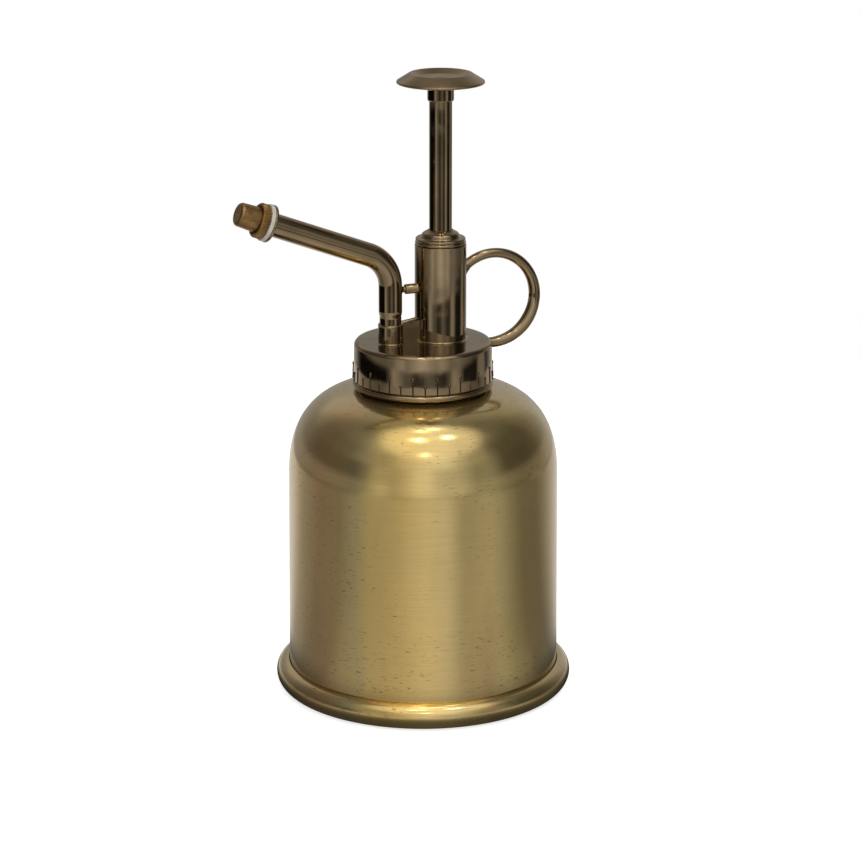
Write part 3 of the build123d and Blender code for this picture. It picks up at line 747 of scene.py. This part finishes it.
def spout_path(first_z, reach):
    """The spout's centre line: upright, one bend and the arm."""
    turn = UP.angle(arm_way)
    back_off = BEND_R * MM * math.tan(turn / 2)
    start = Vector((spout_axis.x, 0, first_z))
    bend_start = bend_corner - UP * back_off
    centre = bend_start + Vector((-BEND_R * MM, 0, 0))
    path = []
    upright = 26
    for i in range(upright):
        path.append(start.lerp(bend_start, i / upright))
    steps = 28
    for i in range(steps):
        angle = turn * i / steps
        path.append(centre + Vector((math.cos(angle), 0, math.sin(angle))) * (BEND_R * MM))
    arm_start = bend_corner + arm_way * back_off
    end = bend_corner + arm_way * reach
    runs = 40
    for i in range(runs + 1):
        path.append(arm_start.lerp(end, i / runs))
    return path


def make_spout():
    """Socket, tube with its turned-down foot, duct and brace."""
    deck = high("cap") / MM
    radius = half_width("spout_socket") / MM
    top = high("spout_socket") / MM
    outline = [(3.5, deck), (radius, deck), (radius, top - 0.8)]
    outline += arc((radius - 0.42, top - 0.45), 0.45, -20, 120, 10) + [(3.5, top - 0.15)]
    socket = lathe("spout_boss", outline, origin=spout_axis, facets=80)
    wear(socket, "head", plating_mat, "gunmetal_plating", "spout_socket")
    wear(fillet_ring("boss_solder", radius, deck, spout_axis), "head", plating_mat, "gunmetal_plating")

    path = spout_path(low("spout_tube"), along_arm("spout_tube")[1])
    heights = [p.z / MM for p in path]
    step_z = top + SPOUT_FOOT_TOP

    def tube_r(share):
        z = heights[round(share * (len(path) - 1))]
        if z < step_z:
            return SPOUT_FOOT_R * MM
        return (SPOUT_R - 0.12 * math.exp(-(z - step_z) * 3.0)) * MM

    bm = bmesh.new()
    add_tube(bm, path, tube_r, facets=72, bore=lambda share: SPOUT_BORE_R * MM)
    wear(new_piece("spout", bm), "head", plating_mat, "gunmetal_plating", "spout_tube")

    make_duct(deck)
    make_brace()


def make_duct(deck):
    """Low housing between the socket and the cylinder, with rounded upper edges."""
    box_low, box_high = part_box("duct")
    half = (box_high.y - box_low.y) / 2 / MM
    x_low, x_high = spout_axis.x / MM + 2.5, box_high.x / MM + 0.3
    section = rounded([(-half, deck - 0.2, 0), (-half, 0, 0.9), (half, 0, 0.9), (half, deck - 0.2, 0)], 7)
    bm = bmesh.new()
    rings = []
    steps = 14
    for i in range(steps + 1):
        share = i / steps
        x = x_low + (x_high - x_low) * share
        crest = high("duct") / MM - 1.0 * (1 - share) + 0.35 * max(0.0, share - 0.7)
        ring = []
        for y, z in section:
            height = crest + z if z < 1.5 else z
            ring.append(bm.verts.new(Vector((x, y, height)) * MM))
        rings.append(ring)
    for one, two in zip(rings, rings[1:]):
        join_rings(bm, one, two)
    bm.faces.new(rings[0])
    bm.faces.new(rings[-1])
    wear(new_piece("duct_housing", bm), "head", plating_mat, "gunmetal_plating", "duct")


BRACE_STEP_X = -6.6             # the pin ends and the sleeve begins here


def make_brace():
    """Pin in a sleeve, with a bead of solder where each end meets its tube."""
    origin = middle("brace_strut")
    pin_end = -(origin.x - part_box("brace_strut")[0].x) / MM
    wall_end = (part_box("brace_strut")[1].x - origin.x) / MM
    sleeve = half_width("brace_strut") / MM
    step = BRACE_STEP_X - origin.x / MM
    outline = [(0, pin_end - 0.3), (0.95, pin_end - 0.3), (1.5, pin_end + 0.05), (1.25, pin_end + 0.3)]
    outline += [(1.0, pin_end + 0.6), (0.95, step - 0.1), (0.98, step + 0.05)]
    outline += arc((sleeve - 0.5, step + 0.5), 0.5, 270, 360, 6)
    outline += [(sleeve, wall_end - 0.5), (sleeve + 0.12, wall_end - 0.2), (sleeve + 0.5, wall_end + 0.05)]
    outline += [(sleeve + 0.5, wall_end + 0.35), (0, wall_end + 0.35)]
    piece = lathe("brace", outline, origin=origin, axis=Vector((1, 0, 0)), facets=48, closed=False)
    wear(piece, "head", plating_mat, "gunmetal_plating", "brace_strut")


# ---- finger ring -----------------------------------------------------------------------------

# Degrees round the ring from its far point, upwards, and the wire's radius there in millimetres.
RING_WIRE = (
    (-104, 1.7), (-60, 2.0), (-35, 2.1), (0, 1.95), (45, 1.75), (90, 1.62), (126, 1.65), (131, 1.95),
    (137, 2.2),
)
CAD_WIRE_R = 1.7


def wire_r(angle):
    """Radius of the ring's wire, in millimetres, at an angle round the ring."""
    for (first, one), (last, two) in zip(RING_WIRE, RING_WIRE[1:]):
        if angle <= last:
            share = max(0.0, (angle - first) / (last - first))
            return one + (two - one) * share * share * (3 - 2 * share)
    return RING_WIRE[-1][1]


def push_out(vert, axis, radius):
    """Moves a point out to a radius about an upright axis, if it lies nearer than that."""
    flat = Vector((vert.co.x - axis.x, vert.co.y, 0))
    if flat.length < radius:
        vert.co += flat.normalized() * (radius - flat.length)


def make_finger_ring():
    """Hand-bent wire ring, thicker at its lower right, flared where it meets the cylinder."""
    hold = next(m for m in frame["record"]["mounts"] if m["name"] == "finger_hold")
    centre = Vector(hold["pos_m"])
    line_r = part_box("finger_ring")[1].x - centre.x - CAD_WIRE_R * MM
    first, last = RING_WIRE[0][0], RING_WIRE[-1][0]
    steps = 120
    path = []
    for i in range(steps + 1):
        turn = math.radians(first + (last - first) * i / steps)
        path.append(centre + Vector((math.cos(turn), 0, math.sin(turn))) * line_r)
    bm = bmesh.new()
    add_tube(bm, path, lambda share: wire_r(first + (last - first) * share) * MM, facets=36)
    in_pump = half_width("pump_cylinder") - 0.4 * MM
    in_skirt = (SKIRT_TOP_R - 0.8) * MM
    deck = high("cap")
    for vert in bm.verts:
        push_out(vert, pump_axis, in_pump)
        if vert.co.z < deck:
            push_out(vert, tank_axis, in_skirt)
    wear(new_piece("ring_wire", bm), "head", plating_mat, "gunmetal_plating", "finger_ring")


# ---- nozzle ----------------------------------------------------------------------------------


COLLAR_LENGTH = 2.9
TIP_FRONT_R = 3.95
TIP_EDGE_R = 1.1
KNURL_TEETH = 56
KNURL_DEPTH = 0.26


def make_nozzle():
    """Dark flange, pale washer, knurled collar with a plain tip."""
    arm = dict(origin=bend_corner, axis=arm_way)
    first, last = (d / MM for d in along_arm("spout_nipple"))
    arm_end = along_arm("spout_tube")[1] / MM
    washer_low, washer_high = (d / MM for d in along_arm("nozzle_washer"))
    flange_r = arm_radius("spout_nipple") / MM
    outline = [(1.5, first), (3.05, first), (3.05, arm_end), (4.3, arm_end + 0.02), (4.4, arm_end + 0.12)]
    outline += rounded([(4.6, arm_end + 0.12, 0), (flange_r, arm_end + 0.12, 0.22),
                        (flange_r, washer_low, 0.22), (4.0, washer_low, 0)], 4)
    outline += [(3.02, washer_low), (3.02, last), (1.5, last)]
    flange = lathe("arm_flange", outline, facets=96, **arm)
    wear(flange, "head", plating_mat, "gunmetal_plating", "spout_nipple")

    washer_r = arm_radius("nozzle_washer") / MM
    outline = rounded([(3.1, washer_low, 0), (washer_r, washer_low, 0.3), (washer_r, washer_high, 0.3),
                       (3.1, washer_high, 0)])
    washer = lathe("pale_washer", outline, facets=96, **arm)
    wear(washer, "nozzle_washer", nylon_mat, "white_nylon", "nozzle_washer")

    collar_r = arm_radius("nozzle") / MM
    tip = along_arm("nozzle")[1] / MM
    face = washer_high + COLLAR_LENGTH
    outline = [(3.1, washer_high), (collar_r - 0.5, washer_high), (collar_r, washer_high + 0.35)]
    outline += [(collar_r, face - 0.45), (collar_r - 0.35, face - 0.05), (collar_r - 0.6, face)]
    outline += [(4.85, face), (4.72, face - 0.15), (4.6, face - 0.8)]
    outline += [(4.3, face - 0.85), (4.2, face - 0.6), (4.24, face + 0.3)]
    outline += arc((TIP_FRONT_R - TIP_EDGE_R, tip - TIP_EDGE_R), TIP_EDGE_R, 0, 90, 9)
    outline += [(2.2, tip), (1.25, tip - 0.02), (1.15, tip - 0.1), (0.45, tip - 0.58), (0.4, tip - 0.65)]
    outline += [(0.4, tip - 1.7), (3.1, tip - 1.7)]

    def knurl(turn, r, h):
        if r < 5.5 or h > face - 0.2 or h < washer_high + 0.2:
            return r
        return r - KNURL_DEPTH * (0.5 - 0.5 * math.cos(KNURL_TEETH * turn))

    tip_piece = lathe("spray_tip", outline, facets=KNURL_TEETH * 6, shape=knurl, **arm)
    wear(tip_piece, "nozzle", nozzle_mat, "nozzle_brass", "nozzle")


def make_spring():
    """Return spring inside the barrel: a steel coil of ten turns."""
    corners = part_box("return_spring")
    wire = 0.6 * MM
    coil_r = half_width("return_spring") - wire
    bottom, top = corners[0].z + wire, corners[1].z - wire
    turns, steps = 10, 28
    path = []
    for i in range(turns * steps + 1):
        turn = 2 * math.pi * i / steps
        height = bottom + (top - bottom) * i / (turns * steps)
        path.append(Vector((pump_axis.x + coil_r * math.cos(turn), coil_r * math.sin(turn), height)))
    bm = bmesh.new()
    add_tube(bm, path, lambda share: wire, facets=12, side=UP)
    spring = wear(new_piece("coil_spring", bm), "head", steel_mat, "steel", "return_spring")
    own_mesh(spring)


make_camera()
dress_cad_nodes()
make_tank()
make_cap()
make_pump()
make_plunger()
make_spout()
make_finger_ring()
make_nozzle()
make_spring()


# ---- light and floor -------------------------------------------------------------------------

# Studio brightness by direction round the object: 0 is towards the camera, positive to its right.
LOW_STUDIO = (
    (-180, 0.42), (-150, 0.5), (-134, 0.14), (-124, 0.008), (-64, 0.006), (-56, 0.2), (-48, 0.66),
    (-40, 0.5), (-31, 0.24), (-22, 0.2), (-12, 0.06), (0, 0.1), (8, 0.26), (16, 0.26), (24, 0.12),
    (36, 0.05), (44, 0.2), (52, 0.6), (62, 0.42), (72, 0.03), (98, 0.02), (106, 0.42), (118, 0.4),
    (128, 0.06), (150, 0.45), (180, 0.42),
)
HORIZON_STUDIO = (
    (-180, 0.36), (-150, 0.34), (-128, 0.32), (-112, 0.27), (-64, 0.28), (-50, 0.36), (-42, 0.6),
    (-33, 0.75), (-26, 0.5), (-16, 0.65), (-4, 0.95), (4, 0.95), (12, 0.75), (22, 0.66), (30, 0.8),
    (38, 0.66), (46, 0.4), (60, 0.44), (74, 0.3), (92, 0.2), (118, 0.26), (134, 0.4), (156, 0.5),
    (180, 0.36),
)
MID_STUDIO = (
    (-180, 0.36), (-150, 0.3), (-128, 0.2), (-112, 0.1), (-60, 0.1), (-50, 0.25), (-42, 0.5),
    (-33, 0.55), (-26, 0.45), (-16, 0.6), (-4, 0.95), (4, 0.95), (12, 0.7), (22, 0.6), (30, 0.7),
    (38, 0.55), (46, 0.3), (60, 0.36), (68, 0.2), (76, 0.06), (100, 0.05), (118, 0.1), (134, 0.25),
    (156, 0.5), (180, 0.36),
)
HIGH_STUDIO = (
    (-180, 0.5), (-150, 0.5), (-136, 0.3), (-122, 0.15), (-100, 0.12), (-72, 0.16), (-62, 0.3),
    (-46, 0.42), (-31, 0.42), (-22, 0.65), (0, 1.0), (25, 0.95), (38, 0.75), (46, 0.45), (60, 0.42),
    (68, 0.2), (78, 0.07), (118, 0.08), (136, 0.25), (150, 0.45), (180, 0.5),
)
TOP_STUDIO = (
    (-180, 0.3), (-150, 0.36), (-128, 0.22), (-105, 0.18), (-80, 0.26), (-60, 0.45), (-40, 0.75),
    (-20, 1.1), (0, 1.3), (22, 1.3), (40, 1.0), (60, 0.6), (76, 0.3), (100, 0.14), (128, 0.16),
    (150, 0.3), (180, 0.3),
)
FLOOR_STUDIO = (
    (-180, 0.8), (-134, 0.72), (-116, 0.42), (-90, 0.25), (-68, 0.27), (-58, 0.4), (-49, 0.46),
    (-32, 0.52), (-15, 0.6), (0, 0.72), (18, 0.7), (30, 0.5), (44, 0.48), (55, 0.54), (63, 0.46),
    (74, 0.34), (84, 0.22), (105, 0.2), (118, 0.36), (134, 0.6), (180, 0.8),
)


# Soft box and lamps: direction round the object and height in degrees, half width in degrees, power.
LAMPS = (
    (14, 66, 40, 1.2), (-8, 69, 4, 9.0), (49, 69, 4, 8.0), (2, 42, 3, 7.0), (-20, 88, 3, 6.0),
    (120, 84, 3, 6.0),
)


class Stage:
    """Nodes of the world and of the floor."""

    def __init__(self, tree, place):
        self.tree = tree
        dots = [self.dot(place, way) for way in (to_right, -forward_flat, UP)]
        self.across, self.ahead, self.rise = dots
        turn = self.math("ARCTAN2", self.across, self.ahead)
        self.turn = self.math("ADD", self.math("DIVIDE", turn, 2 * math.pi), 0.5)

    def add(self, kind, **settings):
        node = self.tree.nodes.new(kind)
        for key, value in settings.items():
            setattr(node, key, value)
        return node

    def put(self, value, socket):
        if isinstance(value, (int, float, tuple)):
            socket.default_value = value
        else:
            self.tree.links.new(value, socket)

    def dot(self, place, way):
        node = self.add("ShaderNodeVectorMath", operation="DOT_PRODUCT")
        self.put(place, node.inputs[0])
        self.put(tuple(way), node.inputs[1])
        return node.outputs["Value"]

    def math(self, operation, one, two):
        node = self.add("ShaderNodeMath", operation=operation)
        self.put(one, node.inputs[0])
        self.put(two, node.inputs[1])
        return node.outputs["Value"]

    def ramp(self, stops):
        node = self.add("ShaderNodeValToRGB")
        self.put(self.turn, node.inputs["Fac"])
        places = node.color_ramp.elements
        places[0].color = (stops[0][1],) * 3 + (1,)
        places[1].color = (stops[-1][1],) * 3 + (1,)
        for turn, value in stops[1:-1]:
            places.new(turn / 360 + 0.5).color = (value, value, value, 1)
        return node.outputs["Color"]

    def step(self, value, low_end, high_end):
        node = self.add("ShaderNodeMapRange", interpolation_type="SMOOTHSTEP")
        node.inputs["From Min"].default_value = low_end
        node.inputs["From Max"].default_value = high_end
        self.put(value, node.inputs["Value"])
        return node.outputs["Result"]

    def mix(self, share, one, two, blend="MIX"):
        node = self.add("ShaderNodeMix", data_type="RGBA", blend_type=blend)
        node.clamp_result = False
        self.put(share, node.inputs[0])
        self.put(one, node.inputs[6])
        self.put(two, node.inputs[7])
        return node.outputs[2]


def make_floor():
    """A plain pale floor that fades out into the white surroundings; in reflections it glows instead, with a
    painted contact shadow near the tank's foot.
    """
    bm = bmesh.new()
    bmesh.ops.create_circle(bm, cap_ends=True, radius=0.47, segments=96)
    mesh = bpy.data.meshes.new("floor")
    bm.to_mesh(mesh)
    bm.free()
    floor = bpy.data.objects.new("floor", mesh)
    floor.location.z = -0.0002
    bpy.context.scene.collection.objects.link(floor)
    material = bpy.data.materials.new("pale_floor")
    material.use_nodes = True
    tree = material.node_tree
    tree.nodes.clear()
    place = tree.nodes.new("ShaderNodeTexCoord").outputs["Object"]
    stage = Stage(tree, place)
    matt = stage.add("ShaderNodeBsdfDiffuse")
    matt.inputs["Color"].default_value = (0.95, 0.95, 0.95, 1)
    glow = stage.add("ShaderNodeEmission")
    glow.inputs["Color"].default_value = (1, 1, 1, 1)
    glow.inputs["Strength"].default_value = 0.74
    seen = stage.add("ShaderNodeAddShader")
    stage.put(matt.outputs["BSDF"], seen.inputs[0])
    stage.put(glow.outputs["Emission"], seen.inputs[1])
    bounced = stage.add("ShaderNodeEmission")
    squares = [stage.math("MULTIPLY", part, part) for part in (stage.across, stage.ahead)]
    reach = stage.math("POWER", stage.math("ADD", *squares), 0.5)
    tint = stage.mix(1.0, stage.ramp(FLOOR_STUDIO), (1.0, 0.94, 0.86, 1), "MULTIPLY")
    stage.put(tint, bounced.inputs["Color"])
    # painted contact shadow: the floor's glow, as seen in reflections, is darker near the tank's foot
    painted_contact_shadow = stage.math("ADD", stage.math("MULTIPLY", stage.step(reach, 0.05, 0.086), 0.88), 0.12)
    stage.put(painted_contact_shadow, bounced.inputs["Strength"])
    choose = stage.add("ShaderNodeMixShader")
    stage.put(stage.add("ShaderNodeLightPath").outputs["Is Camera Ray"], choose.inputs["Fac"])
    stage.put(bounced.outputs["Emission"], choose.inputs[1])
    stage.put(seen.outputs["Shader"], choose.inputs[2])
    out = stage.add("ShaderNodeOutputMaterial")
    stage.put(choose.outputs["Shader"], out.inputs["Surface"])
    mesh.materials.append(material)


def make_studio():
    """A white backdrop for the eye, and a room of soft boxes and dark walls for the reflections."""
    world = bpy.data.worlds.new("world")
    bpy.context.scene.world = world
    world.use_nodes = True
    tree = world.node_tree
    tree.nodes.clear()
    place = tree.nodes.new("ShaderNodeTexCoord").outputs["Generated"]
    room = Stage(tree, place)
    walls = room.mix(room.step(room.rise, -0.185, -0.15), room.ramp(LOW_STUDIO), room.ramp(HORIZON_STUDIO))
    walls = room.mix(room.step(room.rise, -0.04, 0.1), walls, room.ramp(MID_STUDIO))
    walls = room.mix(room.step(room.rise, 0.28, 0.42), walls, room.ramp(HIGH_STUDIO))
    colour = room.mix(room.step(room.rise, 0.55, 0.82), walls, room.ramp(TOP_STUDIO))
    for turn, height, wide, power in LAMPS:
        turn, height = math.radians(turn), math.radians(height)
        level = to_right * math.sin(turn) - forward_flat * math.cos(turn)
        near = room.dot(place, level * math.cos(height) + UP * math.sin(height))
        edge = math.cos(math.radians(wide))
        lamp = room.step(near, edge, min(1.0, edge + 0.6 * (1 - edge)))
        colour = room.mix(lamp, colour, (power, power * 0.97, power * 0.92, 1))
    back = room.add("ShaderNodeBackground")
    room.put(room.mix(1.0, colour, (1.0, 0.96, 0.9, 1), "MULTIPLY"), back.inputs["Color"])
    white = room.add("ShaderNodeBackground")
    white.inputs["Color"].default_value = (1, 1, 1, 1)
    choose = room.add("ShaderNodeMixShader")
    room.put(room.add("ShaderNodeLightPath").outputs["Is Camera Ray"], choose.inputs["Fac"])
    room.put(back.outputs["Background"], choose.inputs[1])
    room.put(white.outputs["Background"], choose.inputs[2])
    out = room.add("ShaderNodeOutputWorld")
    room.put(choose.outputs["Shader"], out.inputs["Surface"])


make_floor()
make_studio()
bpy.context.scene.view_settings.view_transform = "Standard"
